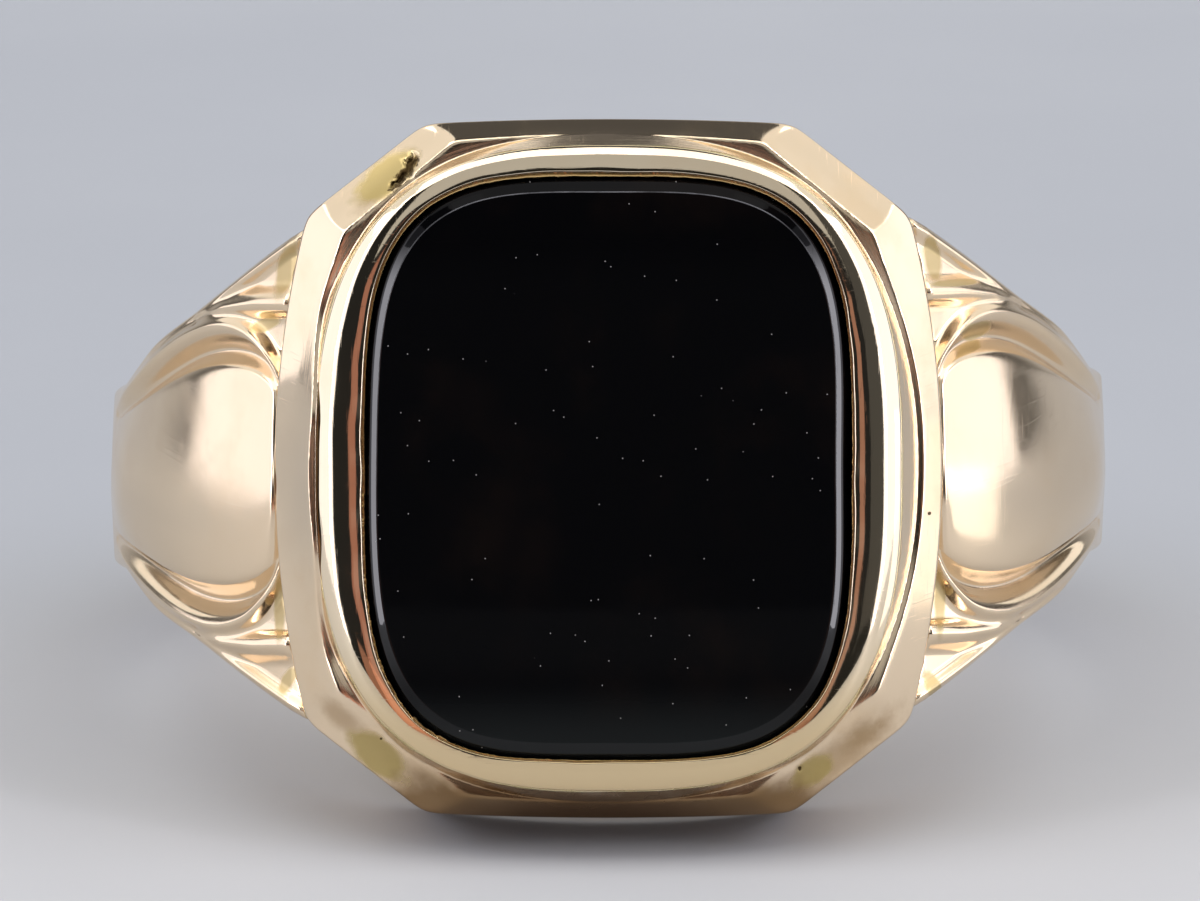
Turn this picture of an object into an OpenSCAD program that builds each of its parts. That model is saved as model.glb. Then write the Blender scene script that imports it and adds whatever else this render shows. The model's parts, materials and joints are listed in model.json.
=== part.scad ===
// Signet ring with a flat cushion stone in a burnished collar, on an eight-sided head.
//
// Millimetres. The origin is the centre of the finger bore. The ring lies on its side the way it rests
// on a table, +Z up and the stone towards -Y, leaning back by the rest angle. Inside the modules the
// bore runs along Z. Head outlines are written as (across, along the finger, height above the bore axis).

/* [Ring] */

// Inside radius of the finger bore
bore_r = 9.5; // [9.4:0.05:9.55]
// Wall of the plain hoop
hoop_wall = 1.4; // [1.2:0.05:1.6]
// Width of the hoop at its sides
hoop_width = 4; // [3.6:0.1:4.2]
// Width of the hoop at the back of the finger
hoop_back_width = 3.2; // [2.6:0.1:3.6]
// Turn of the hoop against the head, seen square to the stone
shank_turn = 1; // [0:0.1:2]
// Angle at which the ring leans back when it lies on a table
rest_angle = 16.3; // [14:0.1:18]

/* [Stone] */

// Half the stone's visible size across the finger
stone_half_x = 5.16; // [4.9:0.02:5.2]
// Half the stone's visible size along the finger
stone_half_z = 6.17; // [5.9:0.02:6.2]
// Height of the stone's table above the bore axis
table_h = 13.05; // [13:0.01:13.1]
// Width of the bevel round the table
bevel = 0.26; // [0.2:0.02:0.4]
// Thickness of the stone
stone_thick = 2.2; // [2:0.05:2.3]

/* [Collar] */

// Half the collar's size across the finger
collar_half_x = 6.18; // [6.1:0.02:6.2]
// Half the collar's size along the finger
collar_half_z = 6.8; // [6.7:0.02:6.85]
// Height of the collar's crest above the bore axis
crest_h = 12.95; // [12.9:0.01:13]

/* [Head] */

// Half the head's size across the finger
head_half_x = 7.08; // [7:0.02:7.2]
// Half the head's size along the finger
head_half_z = 7.4; // [7.3:0.02:7.5]
// Height of the frame's outer edge above the bore axis
frame_edge_h = 11.4; // [11.2:0.05:11.5]
// Height of the frame where it meets the collar
frame_h = 11.95; // [11.9:0.01:12]

/* [Hidden] */

$fn = 96;
GOLD = [0.86, 0.72, 0.55];
SOLDER = [0.80, 0.72, 0.45];
ONYX = [0.04, 0.04, 0.05];

// outlines seen square to the stone
STEPS = 96;
QUARTER = STEPS / 4;
corner_low = 39.9;
corner_high = 61.9;
side_steps = 10;
corner_steps = 5;
STONE = 0;
COLLAR = 1;
CHAMFER = 2;
HEAD = 3;
stone_power = 3.6;
collar_power = 2.75;
side_bow_r = 21.4;
end_bow_r = 76;
corner_dir = [0.615, 0.7885];
corner_reach = 8.154;
chamfer_side = 0.5;
chamfer_end = 0.32;
chamfer_corner = 1;
chamfer_clear = 0.22;
lip_cover = 0.12;

// heights above the bore axis
girdle_h = table_h - bevel - lip_cover;
stone_back_h = table_h - stone_thick;
ledge_thick = 0.65;
collar_foot_h = stone_back_h - ledge_thick;
ledge_reach = 0.85;
wall_drop = 0.7;
lean = 0.08;
lean_drop = 0.36;
flare_out = 0.2;
flare_top_h = crest_h - wall_drop;
flare_slope = (flare_top_h - frame_h) / flare_out;
wall_slope = (wall_drop - lean_drop) / lean;
fillet_out = 0.1;
fillet_mid = 0.06;
fillet_in = 0.03;
fillet_dip = 0.01;
saddle_r = collar_foot_h;
window_half_x = 3.4;
window_half_z = 4;
window_power = 2.6;

// shoulders and hoop, by angle round the bore from the stone's side
seam_gap = 0.1;
seam_h = 10.85;
shoulder_start = 29;
shoulder_end = 96;
shoulder_rows = 30;
shoulder_cols = 52;
hoop_rows = 36;
hoop_cols = 16;
shoulder_flare = 3.35;
flare_turn = 37.5;
flare_power = 1.25;
shoulder_rise = 2.15;
rise_turn = 32;
groove_turn = 42;
groove_far = 2.95;
groove_near_drop = 0.35;
groove_curl = 0.5;
curl_power = 12;
groove_near_turn = 9.1;
groove_hoop_drop = 0.95;
groove_hoop_turn = 22.5;
groove_half = 0.36;
edge_room = 0.45;
dome_rise = 0.35;
groove_deep = 0.42;
bead_rise = 0.1;
panel_deep = 0.3;
fade_start = 58;
fade_end = 72;
panel_fade_start = 40;
panel_fade_end = 47;
edge_sag = 0.04;
edge_drop = 0.13;
under_bore = 0.6;
head_clear = 4;

hoop_r = bore_r + hoop_wall;

// sample angles round the head, which fall on the octagon's corners
function quarter_turn(k) =
    k <= side_steps ? corner_low * k / side_steps
    : k <= side_steps + corner_steps ? corner_low + (corner_high - corner_low) * (k - side_steps) / corner_steps
    : corner_high + (90 - corner_high) * (k - side_steps - corner_steps) / (QUARTER - side_steps - corner_steps);

function turn_at(i) =
    let (j = (i + STEPS) % STEPS, q = floor(j / QUARTER), k = j % QUARTER)
    q == 0 ? quarter_turn(k)
    : q == 1 ? 180 - quarter_turn(QUARTER - k)
    : q == 2 ? 180 + quarter_turn(k)
    : 360 - quarter_turn(QUARTER - k);

function squash(a, half_x, half_z, power) =
    1 / pow(pow(abs(cos(a)) / half_x, power) + pow(abs(sin(a)) / half_z, power), 1 / power);

// distance from the centre to a side that bows outwards with the radius bow
function bowed(u, v, half, bow) =
    let (c = half - bow)
    u * c + sqrt(u * u * c * c + bow * bow - c * c);

function octagon(a, side, end, corner) =
    min(bowed(abs(cos(a)), abs(sin(a)), head_half_x - side, side_bow_r),
        bowed(abs(sin(a)), abs(cos(a)), head_half_z - end, end_bow_r),
        (corner_reach - corner) / (abs(cos(a)) * corner_dir[0] + abs(sin(a)) * corner_dir[1]));

function reach(kind, a) =
    kind == STONE ? squash(a, stone_half_x, stone_half_z, stone_power)
    : kind == COLLAR ? squash(a, collar_half_x, collar_half_z, collar_power)
    : kind == CHAMFER ? max(octagon(a, chamfer_side, chamfer_end, chamfer_corner), reach(COLLAR, a) + chamfer_clear)
    : octagon(a, 0, 0, 0);

function outline(kind, inset) =
    [for (i = [0 : STEPS - 1]) let (a = turn_at(i), r = reach(kind, a) - inset) [r * cos(a), r * sin(a)]];

function smooth(a, b, t) = let (u = min(1, max(0, (t - a) / (b - a)))) u * u * (3 - 2 * u);

// a value that goes smoothly through the heights in steps of [place, height]
function stepped(steps, u) =
    let (k = max([for (i = [0 : len(steps) - 2]) u >= steps[i][0] ? i : 0]))
    steps[k][1] + (steps[k + 1][1] - steps[k][1]) * smooth(steps[k][0], steps[k + 1][0], u);

// a closed band round the head; each corner of its section is [outline, inset, height]
module band(section) {
    n = len(section);
    points = [for (i = [0 : STEPS - 1], s = section)
        let (a = turn_at(i), r = reach(s[0], a) - s[1])
        [r * cos(a), r * sin(a), s[2]]];
    faces = [for (i = [0 : STEPS - 1], j = [0 : n - 1])
        let (k = (i + 1) % STEPS, m = (j + 1) % n)
        [i * n + j, i * n + m, k * n + m, k * n + j]];
    polyhedron(points, faces, convexity = 6);
}

// puts a shape written as (across, along, height) on the ring
module on_head() {
    rotate([90, 0, 0])
        children();
}

module prism(kind, inset, low, high) {
    translate([0, 0, low])
        linear_extrude(high - low)
            polygon(outline(kind, inset));
}

module bore(r, long) {
    cylinder(h = long, r = r, center = true, $fn = 180);
}

module lying() {
    rotate([-rest_angle, 0, 0])
        children();
}

module onyx_tablet() {
    color(ONYX)
        lying()
            on_head()
                stone();
}

module stone() {
    rings = [[-lip_cover, stone_back_h], [-lip_cover, girdle_h], [bevel, table_h]];
    points = [for (g = rings, i = [0 : STEPS - 1])
        let (a = turn_at(i), r = reach(STONE, a) - g[0])
        [r * cos(a), r * sin(a), g[1]]];
    sides = [for (g = [0 : len(rings) - 2], i = [0 : STEPS - 1])
        let (k = (i + 1) % STEPS)
        [g * STEPS + i, (g + 1) * STEPS + i, (g + 1) * STEPS + k, g * STEPS + k]];
    back = [for (i = [0 : STEPS - 1]) i];
    table = [for (i = [0 : STEPS - 1]) 3 * STEPS - 1 - i];
    polyhedron(points, concat(sides, [back, table]), convexity = 4);
}

module bezel_collar() {
    lip_h = girdle_h + lip_cover;
    color(GOLD)
        lying()
            on_head()
                band([
                    [STONE, -lip_cover, collar_foot_h],
                    [COLLAR, 0, collar_foot_h],
                    [COLLAR, 0, flare_top_h],
                    [COLLAR, lean, crest_h - lean_drop],
                    [COLLAR, 0.26, crest_h - 0.1],
                    [COLLAR, 0.46, crest_h],
                    [STONE, -0.26, crest_h],
                    [STONE, -0.08, crest_h - 0.06],
                    [STONE, 0, lip_h + 0.04],
                    [STONE, 0, lip_h],
                    [STONE, -lip_cover, girdle_h]
                ]);
}

module bearing_ledge() {
    color(GOLD)
        lying()
            on_head()
                difference() {
                    prism(STONE, -lip_cover, collar_foot_h, stone_back_h);
                    prism(STONE, ledge_reach, collar_foot_h - 1, stone_back_h + 1);
                }
}

// the frame's front flares down from the collar to a narrow flat, then slopes to its edge in eight facets
module head_frame() {
    color(GOLD)
        lying()
            difference() {
                on_head()
                    band([
                        [COLLAR, 0, head_clear],
                        [HEAD, 0, head_clear],
                        [HEAD, 0, frame_edge_h],
                        [CHAMFER, 0, frame_h],
                        [COLLAR, -flare_out, frame_h],
                        [COLLAR, 0, flare_top_h]
                    ]);
                bore(bore_r, 30);
            }
}

module bezel_solder() {
    color(SOLDER)
        lying()
            on_head()
                band([
                    [COLLAR, 0, flare_top_h],
                    [COLLAR, -fillet_out, flare_top_h - fillet_out * flare_slope],
                    [COLLAR, -fillet_mid, flare_top_h - fillet_dip],
                    [COLLAR, fillet_in, flare_top_h + fillet_in * wall_slope]
                ]);
}

module gallery_saddle() {
    color(GOLD)
        lying()
            difference() {
                intersection() {
                    on_head()
                        prism(COLLAR, 0, 4, collar_foot_h);
                    bore(saddle_r, 30);
                }
                bore(bore_r, 30);
                on_head()
                    translate([0, 0, 4])
                        linear_extrude(10)
                            polygon([for (i = [0 : STEPS - 1])
                                let (a = 360 * i / STEPS, r = squash(a, window_half_x, window_half_z, window_power))
                                [r * cos(a), r * sin(a)]]);
            }
}

// half width of the ring, and its height above the bore axis, at the angle t round the bore
function from_face(t) = min(t, 360 - t);

function half_wide(t) =
    let (u = from_face(t))
    hoop_width / 2
        + shoulder_flare * pow(max(0, 1 - (u - shoulder_start) / flare_turn), flare_power)
        - (hoop_width - hoop_back_width) / 2 * smooth(shoulder_end, 180, u);

function crown(t) =
    hoop_r + shoulder_rise * pow(1 - min(1, max(0, (from_face(t) - rise_turn) / (90 - rise_turn))), flare_power);

// how far the groove beside the dome is from the middle of the band
function groove_z(t) =
    let (w = half_wide(t))
    max(0.6 * w, min(w - edge_room,
        t < groove_turn ? let (n = min(1, (groove_turn - t) / groove_near_turn))
            groove_far - groove_near_drop * n * n - groove_curl * pow(n, curl_power)
        : groove_far - groove_hoop_drop * pow((t - groove_turn) / groove_hoop_turn, 1.3)));

// places across the band: the columns crowd together at the groove and run along it
function across(t, v) =
    let (u = abs(v), g = groove_z(t), w = half_wide(t), lip = min(groove_half, (w - g) / 2))
    sign(v) * (u < 0.5 ? (g - lip) * u / 0.5
        : u < 0.7 ? g - lip + 2 * lip * (u - 0.5) / 0.2
        : g + lip + (w - g - lip) * (u - 0.7) / 0.3);

// the raised work across a shoulder: dome, groove, bead, sunk panel and outer rib, fading to the hoop
function work(t, v) =
    let (u = abs(v), fade = 1 - smooth(fade_start, fade_end, t),
        panel = panel_deep * (1 - smooth(panel_fade_start, panel_fade_end, t)))
    fade * (u < 0.5 ? dome_rise * (1 - pow(u / 0.5, 2))
        : stepped([[0.5, 0], [0.6, -groove_deep], [0.7, bead_rise], [0.78, 0], [0.84, -panel], [0.92, -panel],
            [0.96, 0], [1, 0]], u));

function edge_round(v) = -edge_sag * v * v - edge_drop * pow(max(0, (abs(v) - 0.85) / 0.15), 2);

function skin_point(t, v) =
    let (r = crown(t) + (from_face(t) < 90 ? work(from_face(t), v) : 0) + edge_round(v))
    [r * sin(t), -r * cos(t), across(from_face(t), v) + r * sin(t) * tan(shank_turn)];

// the ring's metal between two angles, before the bore is cut
module arc_body(start, end, rows, cols) {
    inner_r = bore_r - under_bore;
    n = cols + 1;
    turn = (end - start) / rows;
    top = [for (i = [0 : rows], j = [0 : cols])
        skin_point(start + turn * i, 2 * j / cols - 1)];
    under = [for (i = [0 : rows], v = [-1, 1])
        let (t = start + turn * i)
        [inner_r * sin(t), -inner_r * cos(t), half_wide(t) * v + inner_r * sin(t) * tan(shank_turn)]];
    base = len(top);
    skin = [for (i = [0 : rows - 1], j = [0 : cols - 1])
        [i * n + j, i * n + j + 1, (i + 1) * n + j + 1, (i + 1) * n + j]];
    low_side = [for (i = [0 : rows - 1])
        [i * n, (i + 1) * n, base + 2 * i + 2, base + 2 * i]];
    high_side = [for (i = [0 : rows - 1])
        [i * n + n - 1, base + 2 * i + 1, base + 2 * i + 3, (i + 1) * n + n - 1]];
    under_side = [for (i = [0 : rows - 1])
        [base + 2 * i, base + 2 * i + 2, base + 2 * i + 3, base + 2 * i + 1]];
    first = concat([for (j = [n - 1 : -1 : 0]) j], [base, base + 1]);
    last = concat([for (j = [0 : n - 1]) rows * n + j], [base + 2 * rows + 1, base + 2 * rows]);
    polyhedron(concat(top, under), concat(skin, low_side, high_side, under_side, [first, last]), convexity = 8);
}

module shoulder() {
    difference() {
        arc_body(shoulder_start, shoulder_end, shoulder_rows, shoulder_cols);
        on_head()
            prism(HEAD, -seam_gap, 0, 20);
        bore(bore_r, 30);
    }
}

// the solder between the head's side and a shoulder
module shoulder_seam() {
    difference() {
        intersection() {
            arc_body(shoulder_start, shoulder_end, shoulder_rows, shoulder_cols);
            on_head()
                prism(HEAD, -seam_gap, 0, seam_h);
        }
        on_head()
            prism(HEAD, 0, 0, 20);
        bore(bore_r, 30);
    }
}

module shoulder_left() {
    color(GOLD)
        lying()
            rotate([0, 180, 0])
                shoulder();
}

module shoulder_right() {
    color(GOLD)
        lying()
            shoulder();
}

module shoulder_solder_left() {
    color(SOLDER)
        lying()
            rotate([0, 180, 0])
                shoulder_seam();
}

module shoulder_solder_right() {
    color(SOLDER)
        lying()
            shoulder_seam();
}

module shank_hoop() {
    color(GOLD)
        lying()
            difference() {
                arc_body(shoulder_end + joint_turn(), 360 - shoulder_end - joint_turn(), hoop_rows, hoop_cols);
                bore(bore_r, 30);
            }
}

// the angle a solder joint takes up in the hoop
function joint_turn() = seam_gap / bore_r * 180 / PI;

module shank_joint() {
    difference() {
        arc_body(shoulder_end, shoulder_end + joint_turn(), 1, shoulder_cols);
        bore(bore_r, 30);
    }
}

module shank_solder_left() {
    color(SOLDER)
        lying()
            rotate([0, 180, 0])
                shank_joint();
}

module shank_solder_right() {
    color(SOLDER)
        lying()
            shank_joint();
}

onyx_tablet();
bezel_collar();
bearing_ledge();
bezel_solder();
head_frame();
gallery_saddle();
shoulder_left();
shoulder_right();
shoulder_solder_left();
shoulder_solder_right();
shank_hoop();
shank_solder_left();
shank_solder_right();
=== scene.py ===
import json
import math

import bpy
import numpy as np
from mathutils import Matrix, Vector


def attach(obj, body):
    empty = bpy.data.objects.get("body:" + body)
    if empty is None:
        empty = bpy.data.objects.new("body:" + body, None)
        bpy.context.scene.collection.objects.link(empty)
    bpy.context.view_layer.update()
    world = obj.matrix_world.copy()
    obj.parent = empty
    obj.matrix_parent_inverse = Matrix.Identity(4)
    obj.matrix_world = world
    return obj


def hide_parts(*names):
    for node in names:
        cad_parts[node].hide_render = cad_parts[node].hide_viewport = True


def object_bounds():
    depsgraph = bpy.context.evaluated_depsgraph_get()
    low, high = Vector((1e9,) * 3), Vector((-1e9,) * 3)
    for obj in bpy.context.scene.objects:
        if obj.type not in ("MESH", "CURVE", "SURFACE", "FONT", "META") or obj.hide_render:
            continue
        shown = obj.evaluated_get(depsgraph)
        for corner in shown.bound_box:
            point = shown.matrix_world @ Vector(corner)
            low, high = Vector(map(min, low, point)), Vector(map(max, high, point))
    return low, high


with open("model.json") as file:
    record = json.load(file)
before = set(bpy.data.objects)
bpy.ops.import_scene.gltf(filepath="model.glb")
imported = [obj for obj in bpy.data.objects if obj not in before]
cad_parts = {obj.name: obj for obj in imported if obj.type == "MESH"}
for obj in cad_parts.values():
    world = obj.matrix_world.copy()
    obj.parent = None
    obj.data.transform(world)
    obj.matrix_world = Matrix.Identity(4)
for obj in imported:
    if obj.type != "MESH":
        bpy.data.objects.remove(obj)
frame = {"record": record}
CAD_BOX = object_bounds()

# ---------------------------------------------------------------- sizes, in millimetres
RECORD = frame["record"]
MOUNTS = {m["name"]: m for m in RECORD["mounts"]}
BORE_AXIS = MOUNTS["finger_bore"]["axis"]
LEAN = math.atan2(BORE_AXIS[1], BORE_AXIS[2])
BORE_R = MOUNTS["finger_bore"]["dims"]["r_mm"]
TABLE_H = math.hypot(*MOUNTS["signet_face"]["pos_m"][1:]) * 1000

STONE_X, STONE_Z, STONE_POWER = 5.16, 6.17, 3.6
COLLAR_X, COLLAR_Z, COLLAR_POWER = 6.18, 6.80, 2.75
HEAD_X, HEAD_Z = 7.08, 7.40
SIDE_BOW, END_BOW = 21.4, 76.0
CORNER_DIR, CORNER_REACH = (0.615, 0.7885), 8.154
CREST_H = 12.95
SIDE_EDGE_H, END_EDGE_H, CORNER_EDGE_H = 11.44, 11.78, 11.72
LEDGE_H, LEDGE_RISE, LEDGE_TILT = 11.90, 0.38, 0.055
FLARE = math.tan(math.radians(60))
SIDE_SLOPE, END_SLOPE, CORNER_SLOPE = 1.22, 1.45, 0.80
STONE_THICK, LEDGE_DEEP = 2.2, 0.65
STONE_BEVEL, STONE_WALL = 27, 69
STONE_BACK_H = TABLE_H - STONE_THICK
FOOT_H = STONE_BACK_H - LEDGE_DEEP
WINDOW_X, WINDOW_Z, WINDOW_POWER = 3.4, 4.0, 2.6
LIP_COVER = 0.12
LIP_ROWS = 6
CREVICE_X, CREVICE_Z = -4.02, 6.62
PITS = ((-4.80, -5.71, 0.03, 0.03), (4.04, -6.34, 0.05, 0.06))
EDGE_ROUND = 0.12

HOOP_THICK = 1.4
HOOP_R = BORE_R + HOOP_THICK
HOOP_HALF, BACK_HALF = 2.0, 1.6
TURN = math.tan(math.radians(1.0))
SEAM_GAP = 0.1
ARC_START, ARC_END = 29.0, 96.0

MM = 0.001
PER_M = 1000
FULL_TURN = 6.283
SIN, COS = math.sin(LEAN), math.cos(LEAN)


def place(x, z, h):
    """Head coordinates in mm (across, along, height above the bore's axis) to metres in the row's frame."""
    x, z, h = np.broadcast_arrays(np.asarray(x, float), np.asarray(z, float), np.asarray(h, float))
    return np.stack([x, -h * COS + z * SIN, h * SIN + z * COS], axis=-1) * MM


def smooth(a, b, t):
    u = np.clip((t - a) / (b - a), 0, 1)
    return u * u * (3 - 2 * u)


def soft_min(values, k):
    v = np.stack(values)
    lo = v.min(axis=0)
    return lo - k * np.log(np.exp(-(v - lo) / k).sum(axis=0))


def wave(a, seeds, top, low=3):
    """A seeded wobble that closes round the head, about -1 to 1."""
    r = np.random.default_rng(seeds)
    out = np.zeros_like(a)
    for n in range(low, top):
        out += np.sin(n * a + r.uniform(0, FULL_TURN)) * r.normal() / math.sqrt(top - low)
    return out


# ---------------------------------------------------------------- outlines round the head
def squash(a, hx, hz, power):
    return (np.abs(np.cos(a) / hx) ** power + np.abs(np.sin(a) / hz) ** power) ** (-1 / power)


def bowed(u, v, half, bow):
    c = half - bow
    return u * c + np.sqrt(u * u * c * c + bow * bow - c * c)


def stone_r(a):
    return squash(a, STONE_X, STONE_Z, STONE_POWER)


def collar_r(a):
    return squash(a, COLLAR_X, COLLAR_Z, COLLAR_POWER)


def head_r(a, k=0.07):
    u, v = np.abs(np.cos(a)), np.abs(np.sin(a))
    return soft_min([bowed(u, v, HEAD_X, SIDE_BOW), bowed(v, u, HEAD_Z, END_BOW),
                     CORNER_REACH / (u * CORNER_DIR[0] + v * CORNER_DIR[1])], k)


def bore_h(x, r=BORE_R):
    return np.sqrt(np.maximum(r * r - x * x, 0.01))


# ---------------------------------------------------------------- meshes
def make(name, verts, quads, tris=None, mat=None):
    """A closed mesh whose faces point outwards."""
    verts = np.asarray(verts, float).reshape(-1, 3)
    quads = np.asarray(quads, np.int64).reshape(-1, 4)
    tris = np.zeros((0, 3), np.int64) if tris is None else np.asarray(tris, np.int64).reshape(-1, 3)
    halves = verts[np.concatenate([quads[:, [0, 1, 2]], quads[:, [0, 2, 3]], tris])]
    if np.einsum("ij,ij->", halves[:, 0], np.cross(halves[:, 1], halves[:, 2])) < 0:
        quads, tris = quads[:, ::-1], tris[:, ::-1]
    me = bpy.data.meshes.new(name)
    me.vertices.add(len(verts))
    me.vertices.foreach_set("co", verts.ravel())
    loops = np.concatenate([quads.ravel(), tris.ravel()])
    me.loops.add(len(loops))
    me.loops.foreach_set("vertex_index", loops)
    starts = np.concatenate([np.arange(len(quads)) * 4, len(quads) * 4 + np.arange(len(tris)) * 3])
    me.polygons.add(len(starts))
    me.polygons.foreach_set("loop_start", starts)
    me.polygons.foreach_set("use_smooth", np.ones(len(starts), bool))
    me.update(calc_edges=True)
    me.validate()
    ob = bpy.data.objects.new(name, me)
    bpy.context.scene.collection.objects.link(ob)
    if mat:
        me.materials.append(mat)
    return ob


def ring_faces(n, m, base=0, wrap_m=True):
    """Quads of an n by m grid closed round n, and round m if wrap_m."""
    i, j = np.meshgrid(np.arange(n), np.arange(m if wrap_m else m - 1), indexing="ij")
    k, l = (i + 1) % n, (j + 1) % m
    return (base + np.stack([i * m + j, k * m + j, k * m + l, i * m + l], axis=-1)).reshape(-1, 4)


def band(name, rows, mat, steps):
    """rows: list of (radius array, height array) round the head, in order round the closed section."""
    a = np.linspace(0, 2 * math.pi, steps, endpoint=False)
    pts = np.stack([place(r * np.cos(a), r * np.sin(a), h) for r, h in rows], axis=1)
    return make(name, pts, ring_faces(steps, len(rows)), mat=mat)


# ---------------------------------------------------------------- materials
class Nodes:
    def __init__(self, name):
        self.mat = bpy.data.materials.new(name)
        self.mat.use_nodes = True
        self.tree = self.mat.node_tree
        self.tree.nodes.clear()
        self.out = self.add("ShaderNodeOutputMaterial")
        self.bsdf = self.add("ShaderNodeBsdfPrincipled")
        self.link(self.bsdf.outputs[0], self.out.inputs[0])
        self.coord = self.add("ShaderNodeTexCoord").outputs["Object"]

    def add(self, kind, **props):
        n = self.tree.nodes.new(kind)
        for k, v in props.items():
            setattr(n, k, v)
        return n

    def link(self, a, b):
        self.tree.links.new(a, b)

    def put(self, socket, value):
        if hasattr(value, "links"):
            self.link(value, socket)
        else:
            socket.default_value = value

    def math(self, op, a, b=0.0):
        n = self.add("ShaderNodeMath", operation=op)
        for s, v in zip(n.inputs, (a, b, 0.0)):
            self.put(s, v)
        return n.outputs[0]

    def plus(self, a, b, share):
        """a and a share of b."""
        return self.math("ADD", a, self.math("MULTIPLY", b, share))

    def ragged(self, value, noise, amount):
        """A value made uneven by a noise that lies round 0.5."""
        return self.plus(value, self.math("SUBTRACT", noise, 0.5), amount)

    def along(self, axis):
        """How far a point lies along an axis."""
        n = self.add("ShaderNodeVectorMath", operation="DOT_PRODUCT")
        self.link(self.coord, n.inputs[0])
        n.inputs[1].default_value = axis
        return n.outputs["Value"]

    def scaled(self, vec, scale):
        n = self.add("ShaderNodeMapping")
        self.link(vec, n.inputs[0])
        n.inputs["Scale"].default_value = scale
        return n.outputs[0]

    def noise(self, scale, detail=3.0, rough=0.55, vec=None, distort=0.0):
        n = self.add("ShaderNodeTexNoise")
        self.link(vec or self.coord, n.inputs["Vector"])
        n.inputs["Scale"].default_value = scale
        n.inputs["Detail"].default_value = detail
        n.inputs["Roughness"].default_value = rough
        n.inputs["Distortion"].default_value = distort
        return n.outputs[0]

    def voronoi(self, scale, vec):
        n = self.add("ShaderNodeTexVoronoi")
        self.link(vec, n.inputs["Vector"])
        n.inputs["Scale"].default_value = scale
        return n

    def range(self, value, a, b, c=0.0, d=1.0):
        n = self.add("ShaderNodeMapRange", interpolation_type="SMOOTHSTEP")
        for s, v in zip(n.inputs, (value, a, b, c, d)):
            self.put(s, v)
        return n.outputs[0]

    def mix(self, fac, a, b):
        n = self.add("ShaderNodeMix", data_type="RGBA")
        for s, v in ((n.inputs[0], fac), (n.inputs[6], a), (n.inputs[7], b)):
            if isinstance(v, tuple) and len(v) == 3:
                v = (*v, 1.0)
            self.put(s, v)
        return n.outputs[2]

    def oval(self, x, z, turn, long, wide):
        """0 at the middle of an oval on the head's face, 1 on its rim (millimetres, degrees)."""
        c, s = math.cos(math.radians(turn)), math.sin(math.radians(turn))
        parts = []
        for ax, az, size in ((c, s, long), (-s, c, wide)):
            value = self.along((PER_M * ax / size, PER_M * az * SIN / size, PER_M * az * COS / size))
            offset = self.math("SUBTRACT", value, (x * ax + z * az) / size)
            parts.append(self.math("POWER", offset, 2.0))
        return self.math("SQRT", self.math("ADD", *parts))

    def level(self, hx, hz, power):
        """1 on the outline drawn by squash(), less inside it, more outside."""
        parts = []
        for axis in ((PER_M / hx, 0, 0), (0, PER_M * SIN / hz, PER_M * COS / hz)):
            parts.append(self.math("POWER", self.math("ABSOLUTE", self.along(axis)), power))
        return self.math("ADD", *parts)

    def bump(self, height, strength, distance, prior=None):
        n = self.add("ShaderNodeBump")
        n.inputs["Strength"].default_value = strength
        n.inputs["Distance"].default_value = distance
        self.link(height, n.inputs["Height"])
        if prior is not None:
            self.link(prior, n.inputs["Normal"])
        return n.outputs[0]


GOLD = (0.87, 0.70, 0.50)
GOLD_DEEP = (0.80, 0.59, 0.36)
GOLD_COLLAR = (0.875, 0.745, 0.55)
# painted reflection tint for the collar's lower half
GOLD_COLLAR_LOW_REFLECTION = (0.80, 0.625, 0.375)
GOLD_LIP = (0.84, 0.57, 0.23)
GOLD_GREEN = (0.485, 0.37, 0.135)
STAIN_BROWN = (0.36, 0.23, 0.105)
# painted shade colours for the frame's lower rim and for the bottom middle of the frame
PAINTED_RIM_SHADE = (0.235, 0.140, 0.062)
PAINTED_UNDER_SHADE = (0.115, 0.058, 0.024)
PIT_BROWN = (0.060, 0.034, 0.012)
SOLDER_PALE, SOLDER_GREEN = (0.84, 0.69, 0.44), (0.74, 0.63, 0.34)
STONE_BLACK, STONE_BROWN = (0.0018, 0.0018, 0.0022), (0.0050, 0.0034, 0.0030)
# painted reflection colour for the stone's lower end, then painted highlight colour for its table edge
STONE_FOOT_REFLECTION, STONE_EDGE_GLINT = (0.0115, 0.0130, 0.0130), (0.150, 0.150, 0.156)
DUST_GREY = (0.34, 0.33, 0.32)


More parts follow.
